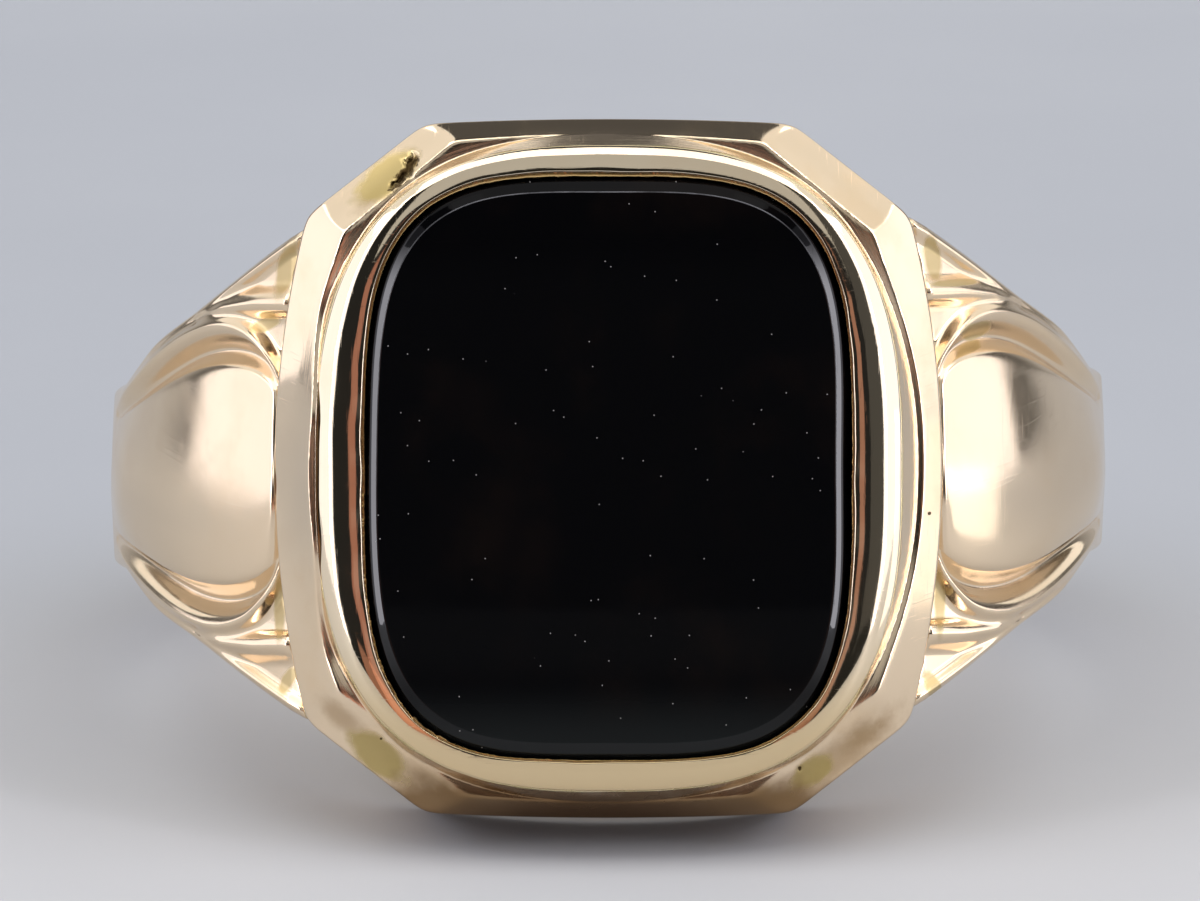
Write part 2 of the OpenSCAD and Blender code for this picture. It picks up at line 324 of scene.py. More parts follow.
def gold(name, patches=(), dark=(), stains=(), rough=0.07, tint=GOLD, wear=1.0, green=0.88,
         hollow=False, low=False):
    """Polished pale gold: fine hand-polish scratches, faint orange peel, tarnish in patches; the collar's
    tint gets a painted reflection tint low down, and low=True paints shade on the frame's lower rim.
    """
    m = Nodes(name)
    m.bsdf.inputs["Metallic"].default_value = 1.0
    blotch = m.noise(420.0, 4.0, 0.6)
    fine = m.noise(2600.0, 3.0, 0.6)
    colour = m.mix(m.range(blotch, 0.45, 0.78, 0.0, 0.55 if low else 0.30), tint, GOLD_DEEP)
    uneven = m.range(blotch, 0.35, 0.75, rough * 0.75, rough * 1.5)
    rough_out = m.math("ADD", uneven, m.range(fine, 0.55, 0.8, 0.0, 0.05))
    streak, dull = None, None
    if hollow:
        level = m.level(COLLAR_X, COLLAR_Z, COLLAR_POWER)
        near = m.range(level, 1.10, 1.22, 1.0, 0.0)
        rough_out = m.plus(rough_out, near, 0.06)
        vec = m.add("ShaderNodeCombineXYZ")
        m.link(m.math("MULTIPLY", level, 60.0), vec.inputs[0])
        part = m.add("ShaderNodeSeparateXYZ")
        m.link(m.scaled(m.coord, (260.0, 260.0, 260.0)), part.inputs[0])
        m.link(part.outputs[0], vec.inputs[1])
        m.link(part.outputs[2], vec.inputs[2])
        streak = m.math("MULTIPLY", m.noise(1.0, 3.0, 0.6, vec.outputs[0]), near)
    for patch in dark:
        d = m.ragged(m.oval(*patch), m.noise(5200.0, 4.0, 0.7), 2.4)
        mask = m.range(d, 0.60, 1.00, 1.0, 0.0)
        dull = mask if dull is None else m.math("MAXIMUM", dull, mask)
    for patch in stains:
        d = m.ragged(m.oval(*patch), m.noise(1100.0, 5.0, 0.65), 1.6)
        colour = m.mix(m.range(d, 0.20, 1.30, 0.52, 0.0), colour, STAIN_BROWN)
    for patch in patches:
        d = m.ragged(m.oval(*patch), m.noise(1500.0, 4.0), 0.9)
        mask = m.range(d, 0.66, 1.10, 1.0, 0.0)
        colour = m.mix(m.math("MULTIPLY", mask, green), colour, GOLD_GREEN)
        rough_out = m.plus(rough_out, mask, 0.20)
    if low or tint == GOLD_COLLAR:
        down = m.along((0, -SIN * PER_M, -COS * PER_M))
    if tint == GOLD_COLLAR:
        # painted reflection: the collar turns a darker, yellower gold towards its bottom, standing in for
        # the floor it reflects
        colour = m.mix(m.range(down, 3.2, 6.0), colour, GOLD_COLLAR_LOW_REFLECTION)
    if low:
        # painted shade: the lower rim darkened towards brown, standing in for the shadowed floor under the
        # ring that it reflects
        mask = m.range(m.ragged(down, m.noise(700.0, 4.0), 1.1), 6.35, 6.95)
        colour = m.mix(m.math("MULTIPLY", mask, 0.92), colour, PAINTED_RIM_SHADE)
        rough_out = m.plus(rough_out, mask, 0.10)
        # painted shade: a deeper brown oval across the bottom middle of the frame
        d = m.ragged(m.oval(*UNDER_SHADE_OVAL), m.noise(700.0, 3.0), 0.35)
        colour = m.mix(m.range(d, 0.30, 1.10, 0.85, 0.0), colour, PAINTED_UNDER_SHADE)
    if dull is not None:
        colour = m.mix(m.math("MULTIPLY", dull, 0.94), colour, PIT_BROWN)
        rough_out = m.plus(rough_out, dull, 0.25)
    m.link(colour, m.bsdf.inputs["Base Color"])
    m.link(rough_out, m.bsdf.inputs["Roughness"])
    # scratches: thin stretched noise in two directions, over a faint waviness
    s1 = m.noise(900.0, 2.0, 0.5, m.scaled(m.coord, (22.0, 1.0, 1.3)))
    s2 = m.noise(800.0, 2.0, 0.5, m.scaled(m.coord, (1.2, 1.0, 24.0)))
    lines = m.math("ADD", m.range(s1, 0.60, 0.66), m.range(s2, 0.61, 0.67))
    n = m.bump(m.noise(520.0, 2.0), 0.10 * wear, 0.00004)
    n = m.bump(lines, 0.05 * wear, 0.000004, n)
    if streak is not None:
        n = m.bump(streak, 0.17, 0.00003, n)
    m.link(n, m.bsdf.inputs["Normal"])
    return m.mat


def solder(name):
    m = Nodes(name)
    m.bsdf.inputs["Metallic"].default_value = 1.0
    b = m.noise(1400.0, 4.0, 0.6)
    m.link(m.mix(m.range(b, 0.35, 0.7), SOLDER_PALE, SOLDER_GREEN), m.bsdf.inputs["Base Color"])
    m.link(m.range(b, 0.3, 0.75, 0.12, 0.34), m.bsdf.inputs["Roughness"])
    m.link(m.bump(m.noise(3800.0, 3.0), 0.25, 0.00001), m.bsdf.inputs["Normal"])
    return m.mat


def onyx(name, marked=False):
    """Polished near-black stone: faint brown clouding, dust, hairline scratches, a painted reflection at its
    lower end, and if asked a painted highlight along the table's edge.
    """
    m = Nodes(name)
    m.bsdf.inputs["IOR"].default_value = 1.54
    cloud = m.noise(330.0, 4.0, 0.6)
    base = m.mix(m.range(cloud, 0.45, 0.75), STONE_BLACK, STONE_BROWN)
    upward = m.along((0, SIN, COS))
    # painted reflection: the stone's lowest part lifted to a faint grey-green, standing in for the floor
    # seen in its polished face
    foot = m.range(upward, -0.0059, -0.0044, 1.0, 0.0)
    base = m.mix(foot, base, STONE_FOOT_REFLECTION)
    part = m.add("ShaderNodeSeparateXYZ")
    m.link(m.coord, part.inputs[0])
    plane = m.add("ShaderNodeCombineXYZ")
    m.link(part.outputs[0], plane.inputs[0])
    m.link(upward, plane.inputs[1])
    ends = m.math("MULTIPLY", m.math("ABSOLUTE", upward), float(PER_M))
    low = m.range(m.math("MULTIPLY", upward, float(PER_M)), -2.0, 2.0, 0.17, 0.06)
    gloss = m.add("ShaderNodeMix", data_type="FLOAT")
    m.link(m.range(ends, 3.7, 4.9), gloss.inputs[0])
    gloss.inputs[2].default_value = 0.40
    m.link(low, gloss.inputs[3])
    m.link(gloss.outputs[0], m.bsdf.inputs["Specular IOR Level"])
    dust = m.voronoi(2900.0, plane.outputs[0])
    dust.voronoi_dimensions = "2D"
    pick = m.add("ShaderNodeSeparateColor")
    m.link(dust.outputs["Color"], pick.inputs[0])
    speck = m.range(dust.outputs["Distance"], 0.02, 0.050, 1.0, 0.0)
    mote = m.math("MULTIPLY", speck, m.range(pick.outputs[2], 0.90, 0.91))
    colour = m.mix(mote, base, DUST_GREY)
    # painted highlight: grey along the table's rounded edge, broken up by noise and strongest at the top
    if marked:
        glint_noise = m.range(m.noise(1300.0, 4.0), 0.34, 0.62, 0.35, 1.0)
        glint_mask = m.math("MULTIPLY", glint_noise, m.range(upward, -0.003, 0.004))
        colour = m.mix(glint_mask, colour, STONE_EDGE_GLINT)
    m.link(colour, m.bsdf.inputs["Base Color"])
    polish = m.range(m.noise(900.0, 3.0), 0.4, 0.7, 0.018, 0.035)
    m.link(m.plus(polish, mote, 0.5), m.bsdf.inputs["Roughness"])
    hair = m.noise(700.0, 2.0, 0.5, m.scaled(m.coord, (26.0, 1.0, 1.0)))
    m.link(m.bump(m.range(hair, 0.66, 0.70), 0.03, 0.000002), m.bsdf.inputs["Normal"])
    return m.mat


# ovals on the head's face: across, along, turn in degrees, half length, half width
# the next oval marks where painted shade darkens the bottom middle of the frame
UNDER_SHADE_OVAL = (-0.4, -7.55, 0, 3.6, 0.85)
PATCHES = ((-4.72, 6.18, 38, 0.95, 0.40), (-4.88, -6.04, -38, 0.88, 0.38), (4.31, -6.42, 38, 0.62, 0.32))
DARK = ((-4.32, 6.22, 53, 0.58, 0.12), (6.80, -0.95, 0, 0.04, 0.04),
        (-4.80, -5.71, 0, 0.03, 0.03), (4.04, -6.34, 0, 0.05, 0.05))
STAINS = ((4.95, -6.05, 38, 1.70, 0.42), (5.45, -5.60, 38, 0.60, 0.22), (3.30, -7.00, 10, 1.3, 0.30),
          (-3.60, -6.65, -30, 1.20, 0.34), (-5.70, -5.20, -38, 0.60, 0.26), (-4.95, 5.75, 38, 0.55, 0.20))
MAT_FRAME = gold("head_frame_gold", PATCHES, DARK, STAINS, rough=0.11, wear=1.6, hollow=True, low=True)
MAT_COLLAR = gold("collar_gold", rough=0.06, tint=GOLD_COLLAR)
MAT_LIP = gold("lip_gold", rough=0.20, tint=GOLD_LIP)
SEAM_PATCHES = ((-6.85, 4.2, 75, 0.75, 0.22), (-7.3, 3.05, 20, 0.38, 0.16), (-7.0, -2.9, 90, 0.8, 0.14),
                (-6.8, -4.5, 60, 0.4, 0.16), (6.9, 4.5, 100, 0.55, 0.20), (7.4, 3.95, 5, 0.6, 0.09),
                (7.85, 2.95, 20, 0.4, 0.18), (7.05, -2.8, 90, 0.8, 0.14), (6.95, -4.7, 120, 0.45, 0.18))
MAT_SHOULDER = gold("shoulder_gold", SEAM_PATCHES, rough=0.16, wear=1.4, green=0.68)
MAT_HOOP = gold("hoop_gold", rough=0.10, wear=2.2)
MAT_INNER = gold("inner_gold", rough=0.20, tint=GOLD_DEEP, wear=2.0)
MAT_SOLDER = solder("solder_run")
MAT_ONYX = onyx("onyx_polished")
MAT_ONYX_EDGE = onyx("onyx_edge_glint", True)


# ---------------------------------------------------------------- the stone
def stone_piece():
    steps, caps = 720, 10
    a = np.linspace(0, 2 * math.pi, steps, endpoint=False)
    s = stone_r(a)
    tall = np.sin(a) ** 2
    near_lip = 0.10 * np.exp(-((np.degrees(a) - 184) / 32) ** 2)
    low = 0.035 * np.clip(-np.sin(a), 0, 1) ** 2
    table = s - (0.375 - 0.025 * tall - near_lip + low)
    edge = s - (0.220 - 0.105 * tall - near_lip + low)
    drop = (edge - table) * math.tan(math.radians(STONE_BEVEL)) / np.hypot(1, np.gradient(s, a) / s)
    swell = 0.010
    rows = []
    for i in range(caps + 1):
        f = 0.02 + 0.97 * i / caps
        rows.append((table * f, np.full(steps, TABLE_H - swell * f ** 4)))
    flat = TABLE_H - swell
    rows.append((table - 0.010, np.full(steps, flat)))
    rows.append((table + 0.004, np.full(steps, flat - 0.002)))
    rows.append((table + 0.014, np.full(steps, flat - 0.007)))
    for f in (0.4, 0.7, 0.9):
        rows.append((table + (edge - table) * f, flat - drop * f))
    rows.append((edge, flat - drop - 0.004))
    wall = (s - 0.015) - edge
    for f in (0.06, 0.3, 0.6, 1.0):
        rows.append((edge + wall * f, flat - drop - 0.008 - wall * f * math.tan(math.radians(STONE_WALL))))
    rows.append((s + LIP_COVER, flat - drop - wall * 2.6 - 0.12))
    rows.append((s + LIP_COVER, np.full(steps, STONE_BACK_H + 0.06)))
    rows.append((s + LIP_COVER - 0.06, np.full(steps, STONE_BACK_H)))
    for f in (0.7, 0.35, 0.02):
        rows.append((s * f, np.full(steps, STONE_BACK_H)))
    m = len(rows)
    pts = np.stack([place(r * np.cos(a), r * np.sin(a), h) for r, h in rows], axis=1).reshape(-1, 3)
    quads = ring_faces(steps, m, wrap_m=False)
    front_point, back_point = len(pts), len(pts) + 1
    pts = np.vstack([pts, place(0, 0, TABLE_H), place(0, 0, STONE_BACK_H)])
    i = np.arange(steps)
    k = (i + 1) % steps
    front = np.stack([np.full(steps, front_point), k * m, i * m], 1)
    back = np.stack([np.full(steps, back_point), i * m + m - 1, k * m + m - 1], 1)
    tris = np.concatenate([front, back])
    ob = make("onyx_stone", pts, quads[:, ::-1], tris[:, ::-1], MAT_ONYX)
    ob.data.materials.append(MAT_ONYX_EDGE)
    face = np.arange(len(quads) + len(tris))
    on_edge = (face < len(quads)) & np.isin(face % (m - 1), (caps + 1, caps + 2))
    ob.data.polygons.foreach_set("material_index", on_edge.astype(np.int32))
    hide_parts("onyx_tablet")


# ---------------------------------------------------------------- the collar and its burnished lip
def collar_lines(a):
    """Radii of the lip's edge and of the groove outside it, the lip's nicks, and the outer edge's height."""
    s, c = stone_r(a), collar_r(a)
    low_left = np.exp(-((np.degrees(a) % 360 - 222) / 28.0) ** 2)
    ragged = 0.35 + 1.6 * low_left
    nick = wave(a, 11, 130, 30) * 0.6 + wave(a, 12, 360, 120) * 0.4
    top_wide = np.exp(-((np.degrees(a) - 92) / 42.0) ** 2)
    left_wide = np.exp(-((np.degrees(a) % 360 - 168) / 36.0) ** 2)
    width = 0.024 + 0.060 * top_wide + 0.030 * left_wide + 0.008 * wave(a, 14, 40)
    groove = s - 0.035 + 0.006 * wave(a, 13, 24) + np.maximum(width, 0.022) + 0.012 * ragged
    lip = np.minimum(s - 0.035 + (0.018 * nick + 0.012 * wave(a, 13, 24)) * ragged, groove - 0.026)
    return lip, groove, nick * ragged, CREST_H - (c - groove - 0.03) * FACE_FALL[-1]


FACE_U = np.linspace(0, 1, 34)
FACE_BREAK, FACE_LEAN, FACE_ROLL = 0.60, 20, 28
FACE_TILT = np.radians(np.where(FACE_U < FACE_BREAK,
                                FACE_LEAN * (FACE_U / FACE_BREAK) - 3 * (1 - smooth(0, 0.12, FACE_U)),
                                FACE_LEAN + FACE_ROLL * (np.maximum(FACE_U - FACE_BREAK, 0) / 0.40) ** 0.9))
FACE_FALL = np.concatenate([[0], np.cumsum((np.tan(FACE_TILT[1:]) + np.tan(FACE_TILT[:-1])) / 2
                                           * np.diff(FACE_U))])
FACE_FALL = FACE_FALL - FACE_FALL.min()


def collar_piece():
    steps = 1800
    a = np.linspace(0, 2 * math.pi, steps, endpoint=False)
    s, c = stone_r(a), collar_r(a)
    lip, groove, nick, outer_h = collar_lines(a)
    w = c - groove - 0.03
    lip_h = TABLE_H - 0.23 + 0.010 * nick
    rows = [(lip + 0.030, lip_h - 0.10), (lip + 0.004, lip_h - 0.05)]
    rows += [(lip, lip_h - 0.012), (lip + 0.010, lip_h)]
    rows.append((lip + 0.6 * (groove - lip), lip_h + 0.022))
    rows.append((groove - 0.006, lip_h + 0.012))
    shut = 0.022 * np.clip(-np.sin(a), 0, 1) ** 3
    rows.append((groove + 0.004, lip_h - 0.022 + shut))
    rows.append((groove + 0.018, lip_h - 0.018 + shut))
    wob = 0.006 * wave(a, 21, 30)
    under = 0.20 * np.clip(-np.sin(a), 0, 1) ** 3
    for u, fall in zip(FACE_U, FACE_FALL):
        start = min(u, 0.3) - min(u, 0.3) ** 2 / 0.6
        rows.append((groove + 0.03 + w * u, CREST_H - w * (fall + under * start) + wob * (1 - u)))
    rows.append((c + 0.0 * a, outer_h - 0.02))
    for h in (12.2, LEDGE_H - 0.1, FOOT_H):
        rows.append((c, np.full(steps, h)))
    rows.append((s + LIP_COVER, np.full(steps, FOOT_H)))
    rows.append((s + LIP_COVER, np.full(steps, STONE_BACK_H)))
    rows.append((s + LIP_COVER + 0.01, TABLE_H - 0.50 + 0 * a))
    ob = band("bezel_collar_rim", rows, MAT_COLLAR, steps)
    ob.data.materials.append(MAT_LIP)
    on_lip = np.arange(steps * len(rows)) % len(rows) < LIP_ROWS
    ob.data.polygons.foreach_set("material_index", on_lip.astype(np.int32))
    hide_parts("bezel_collar")


# ---------------------------------------------------------------- the eight-sided frame
def head_height(x, z):
    """Height of the frame's front: a flare falling from the collar to a narrow ledge, then eight facets."""
    ax, az = np.abs(x), np.abs(z)
    a = np.arctan2(z, x)
    r = np.hypot(x, z)
    side = SIDE_BOW - np.hypot(ax - (HEAD_X - SIDE_BOW), z)
    end = END_BOW - np.hypot(x, az - (HEAD_Z - END_BOW))
    corner = CORNER_REACH - ax * CORNER_DIR[0] - az * CORNER_DIR[1]
    # the worn middle of the left side facet: its edge sits lower and its slope is steeper
    marked = np.exp(-((np.degrees(a) % 360 - 181) / 9.5) ** 2)
    dish = 0.05 * np.sin(np.clip(corner / 0.75, 0, 1) * math.pi)
    d = r - collar_r(a)
    rise = LEDGE_RISE * smooth(0.02, 0.5, np.sin(a) ** 2)
    ledge = LEDGE_H + rise + 0.02 * wave(a, 42, 7, 2) + LEDGE_TILT * d
    turn = np.degrees(a) % 360
    taper = smooth(146, 172, turn) * (1 - smooth(192, 216, turn))
    ledge = ledge + 0.17 * np.sin(2 * a) ** 2 + 0.75 * taper
    side_slope = SIDE_SLOPE + 0.34 * marked
    corner_slope = CORNER_SLOPE + 0.17 * smooth(2.5, 4.5, z)
    facets = soft_min([SIDE_EDGE_H - 0.20 * marked + side * side_slope + 0.45 * taper * side * side,
                       END_EDGE_H + end * END_SLOPE,
                       CORNER_EDGE_H + corner * corner_slope - dish], 0.05)
    top = soft_min([facets, ledge], 0.014 + 0.022 * np.sin(2 * a) ** 2)
    steep = FLARE * (1 + 0.45 * np.sin(2 * a) ** 2)
    flare = collar_lines(a)[3] - 0.012 - d * steep
    h = -soft_min([-top, -flare], 0.004 + 0.030 * taper)
    # a ragged crevice beside the upper left solder, and two pits
    reach = (x - CREVICE_X) * -0.60 + (z - CREVICE_Z) * -0.80
    jag = 0.045 * np.sin(reach * 9 + 0.5) + 0.030 * np.sin(reach * 24 + 1) + 0.012 * np.sin(reach * 51)
    off = (x - CREVICE_X) * 0.80 - (z - CREVICE_Z) * 0.60 + jag
    wide = 0.035 + 0.070 * np.clip(1 - np.abs(reach - 0.25) / 0.45, 0, 1) + 0.012 * np.sin(reach * 31)
    h = h - 0.16 * np.exp(-(off / wide) ** 2) * smooth(-0.05, 0.15, reach) * (1 - smooth(0.75, 1.0, reach))
    for px, pz, size, deep in PITS:
        h = h - deep * np.exp(-((x - px) ** 2 + (z - pz) ** 2) / size ** 2)
    return h


def frame_piece():
    steps, across = 1320, 46
    a = np.linspace(0, 2 * math.pi, steps, endpoint=False)
    o, c = head_r(a), collar_r(a)
    out = []
    for f in np.linspace(0, 1, across) ** 1.15:
        r = c + (o - EDGE_ROUND * 0.26 - c) * f
        out.append((r, head_height(r * np.cos(a), r * np.sin(a))))
    r_last, h_last = out[-1]
    for f in (15, 35, 60, 90):
        q = math.radians(f)
        r = r_last + (o - r_last) * math.sin(q)
        out.append((r, h_last - 0.05 * (1 - math.cos(q)) - 0.035 * math.sin(q)))
    h_top = out[-1][1] - 0.03
    xo = o * np.cos(a)
    foot = bore_h(xo) + 0.06
    for f in np.linspace(0, 1, 14):
        out.append((o, h_top + (foot - h_top) * f))
    for f in np.linspace(0, 1, 10):
        r = (o - 0.05) + (c - o + 0.05) * f
        out.append((r, bore_h(r * np.cos(a))))
    out.append((c, (LEDGE_H - 0.3) + 0 * a))
    ob = band("head_frame_octagon", out, MAT_FRAME, steps)
    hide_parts("head_frame")


def solder_piece():
    """The solder run where the collar meets the frame: a hairline bead, wider at the corners."""
    steps = 1440
    a = np.linspace(0, 2 * math.pi, steps, endpoint=False)
    c = collar_r(a)
    top = collar_lines(a)[3]
    w = 0.035 + 0.012 * wave(a, 31, 60) + 0.012 * wave(a, 32, 9) + 0.03 * np.sin(2 * a) ** 8
    w = np.clip(w, 0.018, 0.12)
    rows = [(c - 0.02, top - 0.08), (c - 0.008, top - 0.004)]
    for f in (0.25, 0.5, 0.75, 1.0):
        rows.append((c + w * f, top - w * f * FLARE + 0.010 * math.sin(math.pi * f) - 0.022 * f))
    rows.append((c + w * 0.8, top - w * FLARE - 0.12))
    ob = band("bezel_solder_run", rows, MAT_SOLDER, steps)
    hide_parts("bezel_solder")


def saddle_piece():
    """The curved plate against the finger, with its window."""
    steps = 720
    a = np.linspace(0, 2 * math.pi, steps, endpoint=False)
    o, w = collar_r(a), squash(a, WINDOW_X, WINDOW_Z, WINDOW_POWER)
    rows = []
    for f in np.linspace(0, 1, 22):
        r = o + (w + 0.12 - o) * f
        rows.append((r, bore_h(r * np.cos(a))))
    for q in (30, 60, 90):
        r = w + 0.12 - 0.12 * math.sin(math.radians(q))
        rows.append((r, bore_h(r * np.cos(a)) + 0.12 * (1 - math.cos(math.radians(q)))))
    rows.append((w, bore_h(w * np.cos(a), FOOT_H) - 0.08))
    rows.append((w + 0.06, bore_h((w + 0.06) * np.cos(a), FOOT_H)))
    for f in (0.35, 0.7, 1.0):
        r = w + 0.06 + (o - w - 0.06) * f
        rows.append((r, bore_h(r * np.cos(a), FOOT_H)))
    ob = band("gallery_saddle_plate", rows[::-1], MAT_INNER, steps)
    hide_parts("gallery_saddle")


# ---------------------------------------------------------------- shoulders and hoop
def half_wide(t):
    u = np.minimum(t, 360 - t)
    flare = 3.35 * np.maximum(0, 1 - (u - ARC_START) / 37.5) ** 1.25
    swell = 0.13 * np.exp(-((u - 55) / 8.5) ** 2)
    return HOOP_HALF + flare + swell - (HOOP_HALF - BACK_HALF) * smooth(ARC_END, 180, u)


def crown(t):
    u = np.minimum(t, 360 - t)
    return HOOP_R + 2.15 * (1 - np.clip((u - 32) / 58, 0, 1)) ** 1.25


TURNS = np.linspace(ARC_START, ARC_END, 600)
CROWN_X = crown(TURNS) * np.sin(np.radians(TURNS))
CROWN_H = crown(TURNS) * np.cos(np.radians(TURNS))
ARC_LENGTH = np.concatenate([[0], np.cumsum(np.hypot(np.diff(CROWN_X), np.diff(CROWN_H)))])


def curve_in(points):
    """Rows of (across, along, ...) to a dense line in (arc length, along, ...)."""
    p = np.array(points, float)
    p[:, 0] = np.interp(p[:, 0], CROWN_X, ARC_LENGTH)
    k = np.concatenate([[0], np.cumsum(np.hypot(np.diff(p[:, 0]), np.diff(p[:, 1])))])
    q = np.linspace(0, k[-1], 200)
    out = np.stack([np.interp(q, k, p[:, c]) for c in range(p.shape[1])], axis=1)
    ker = np.ones(17) / 17
    for c in range(out.shape[1]):
        before = 2 * out[0, c] - out[8:0:-1, c]
        after = 2 * out[-1, c] - out[-2:-10:-1, c]
        pad = np.concatenate([before, out[:, c], after])
        out[:, c] = np.convolve(pad, ker, mode="valid")
    return out


# across, along the finger, width, depth
GROOVE = curve_in([(6.85, 0.00, 0.03, 0.00), (6.88, 1.20, 0.03, 0.00), (7.02, 1.85, 0.05, 0.04),
                   (7.24, 2.24, 0.11, 0.22), (7.55, 2.50, 0.19, 0.34), (8.00, 2.66, 0.24, 0.40),
                   (8.50, 2.68, 0.25, 0.40), (9.00, 2.56, 0.23, 0.38), (9.50, 2.30, 0.20, 0.33),
                   (9.90, 2.02, 0.18, 0.26), (10.3, 1.70, 0.15, 0.16), (10.75, 1.30, 0.12, 0.04)])
# across, along the finger, width
RIB = curve_in([(6.75, 3.62, 0.22), (7.6, 3.64, 0.20), (8.3, 3.58, 0.16), (8.9, 3.40, 0.12)])


def distance_to(line, s, z):
    """Distance to a line, and the line's other columns at the nearest place."""
    best = np.full(s.shape, 1e9)
    rest = [np.zeros(s.shape) for _ in range(line.shape[1] - 2)]
    for p0, p1 in zip(line[:-2:2], line[2::2]):
        ds, dz = p1[0] - p0[0], p1[1] - p0[1]
        q = np.clip(((s - p0[0]) * ds + (z - p0[1]) * dz) / max(ds * ds + dz * dz, 1e-9), 0, 1)
        d = np.hypot(s - p0[0] - q * ds, z - p0[1] - q * dz)
        near = d < best
        best = np.where(near, d, best)
        for i in range(len(rest)):
            rest[i] = np.where(near, p0[i + 2] + q * (p1[i + 2] - p0[i + 2]), rest[i])
    return best, rest


def relief(t, z):
    """Height of the worked surface above the plain crown, in mm, for z measured from the band's middle."""
    q = np.abs(z)
    s = np.interp(t, TURNS, ARC_LENGTH)
    w = half_wide(t)
    g = np.interp(s, GROOVE[:, 0], GROOVE[:, 1])
    d, _ = distance_to(GROOVE[:, :2], s, q)
    wide, deep = (np.interp(s, GROOVE[:, 0], GROOVE[:, k]) for k in (2, 3))
    d = np.where((q < g) & (s > GROOVE[0, 0]), -d, d)
    fade = 1 - smooth(60, 78, t)
    dome = (0.30 - 0.09 * z) * np.clip(1 - (q / np.maximum(g, 0.6)) ** 2, 0, 1)
    cut = -deep * np.exp(-(d / wide) ** 2)
    crest = 2.15 * wide
    bead = 0.11 * smooth(0.05, 0.16, wide) * np.exp(-((d - crest) / (0.85 * wide)) ** 2)
    low = -0.16 * smooth(crest, crest + 0.32, d) * (1 - smooth(46, 56, t))
    rib_d, (rib_w,) = distance_to(RIB, s, q)
    rib_on = 1 - smooth(8.3, 9.1, crown(t) * np.sin(np.radians(t)))
    rib = 0.17 * np.exp(-(rib_d / rib_w) ** 2) * rib_on
    panel = -0.13 * smooth(3.78, 4.10, q) * smooth(0.16, 0.46, w - q) * (1 - smooth(40, 46, t))
    recess = -0.12 * smooth(crest, crest + 0.2, d) * (1 - smooth(3.30, 3.48, q)) * (1 - smooth(34, 39, t))
    edge = 0.08 * np.exp(-((w - q - 0.14) / 0.14) ** 2) * (1 - smooth(48, 60, t))
    return fade * (dome + cut + bead + rib + low + panel + recess + edge)


def edge_round(v, t):
    back = smooth(62, 88, np.minimum(t, 360 - t))
    past = np.maximum(0, (np.abs(v) - 0.94 + 0.08 * back) / (0.06 + 0.08 * back))
    return -(0.04 + 0.06 * back) * v * v - (0.13 + 0.12 * back) * past ** 2


def meets(line, radius_of, v):
    """Angle at which each lengthwise line v meets a boundary, itself a number or a function of (r, z)."""
    if not callable(line):
        return np.full(np.shape(v), float(line))
    t = np.full(np.shape(v), 38.0)
    for _ in range(40):
        r = radius_of(t, v)
        t = 0.5 * t + 0.5 * line(r, half_wide(t) * v + r * np.sin(np.radians(t)) * TURN)
    if t.ndim == 1 and t.size > 100:
        wide = np.pad(t, 15, mode="edge")
        low = np.min([wide[k:k + t.size + 16] for k in range(15)], axis=0)
        t = np.mean([low[k:k + t.size] for k in range(17)], axis=0)
    return t


